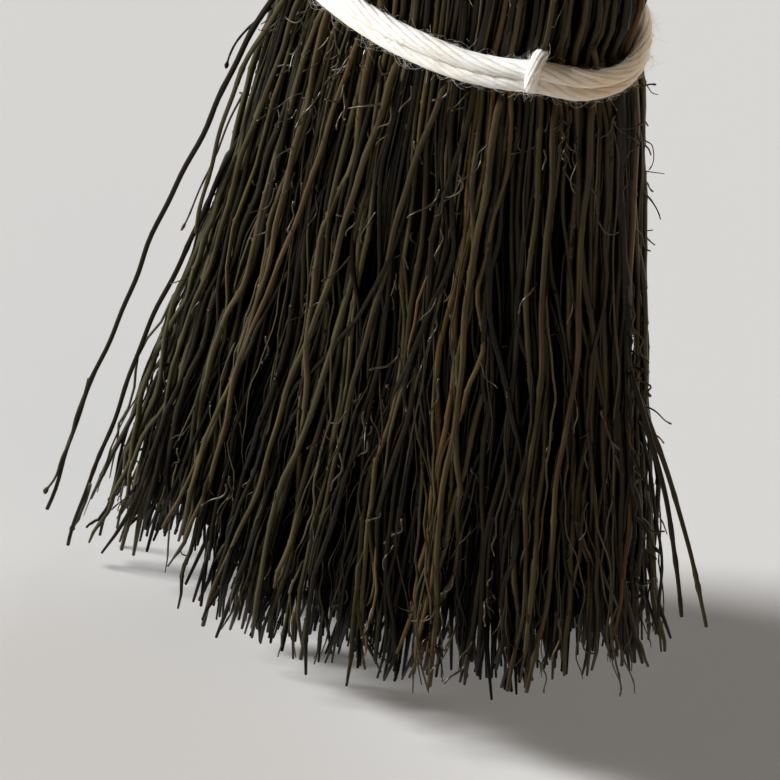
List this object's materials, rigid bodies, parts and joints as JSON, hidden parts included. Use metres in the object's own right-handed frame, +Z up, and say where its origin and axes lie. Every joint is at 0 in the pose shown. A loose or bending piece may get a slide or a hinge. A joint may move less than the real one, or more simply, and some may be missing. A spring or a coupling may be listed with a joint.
{
  "type": "curling broom",
  "caption": "Corn curling broom: a long oval straw head bound with soft cotton cord, tied and plaited onto a round wooden handle with a hang hole.",
  "frame": {"origin": "under the handle's axis, at the height of the lowest straw tips", "axes": "+Z up along the handle, X along the head's wide way with the longer worn tips on -X, +Y through the head's depth from front to back"},
  "size_m": [0.1819, 0.0688, 1.25],
  "materials": {
    "handle_wood": "satin, lightly varnished ash",
    "broomcorn": "dyed broomcorn straw, near black with olive and brown tones",
    "stems": "dyed broomcorn stalks, slightly glossy",
    "cotton_cord": "soft, fuzzy, undyed cotton",
    "tie_twine": "thin waxed twine",
    "nail_steel": "bright steel nail"
  },
  "bodies": {
    "root": {"handle_shaft": "handle_wood", "inner_corn": "broomcorn", "inner_tie": "tie_twine", "left_shoulder_corn": "broomcorn", "right_shoulder_corn": "broomcorn", "shoulder_tie": "tie_twine", "cover_corn_front": "broomcorn", "cover_corn_back": "broomcorn", "neck_whipping": "cotton_cord", "plaited_stems": "stems", "middle_whipping": "cotton_cord", "weaving_cord": "cotton_cord", "top_whipping": "cotton_cord", "cord_nails": "nail_steel", "lower_band": "cotton_cord", "lower_band_loop_front": "cotton_cord", "lower_band_loop_back": "cotton_cord", "middle_band": "cotton_cord", "middle_band_loop_front": "cotton_cord", "middle_band_loop_back": "cotton_cord", "upper_band": "cotton_cord", "upper_band_loop_front": "cotton_cord", "upper_band_loop_back": "cotton_cord", "loose_straws_left": "broomcorn", "loose_straws_right": "broomcorn"}
  },
  "joints": []
}
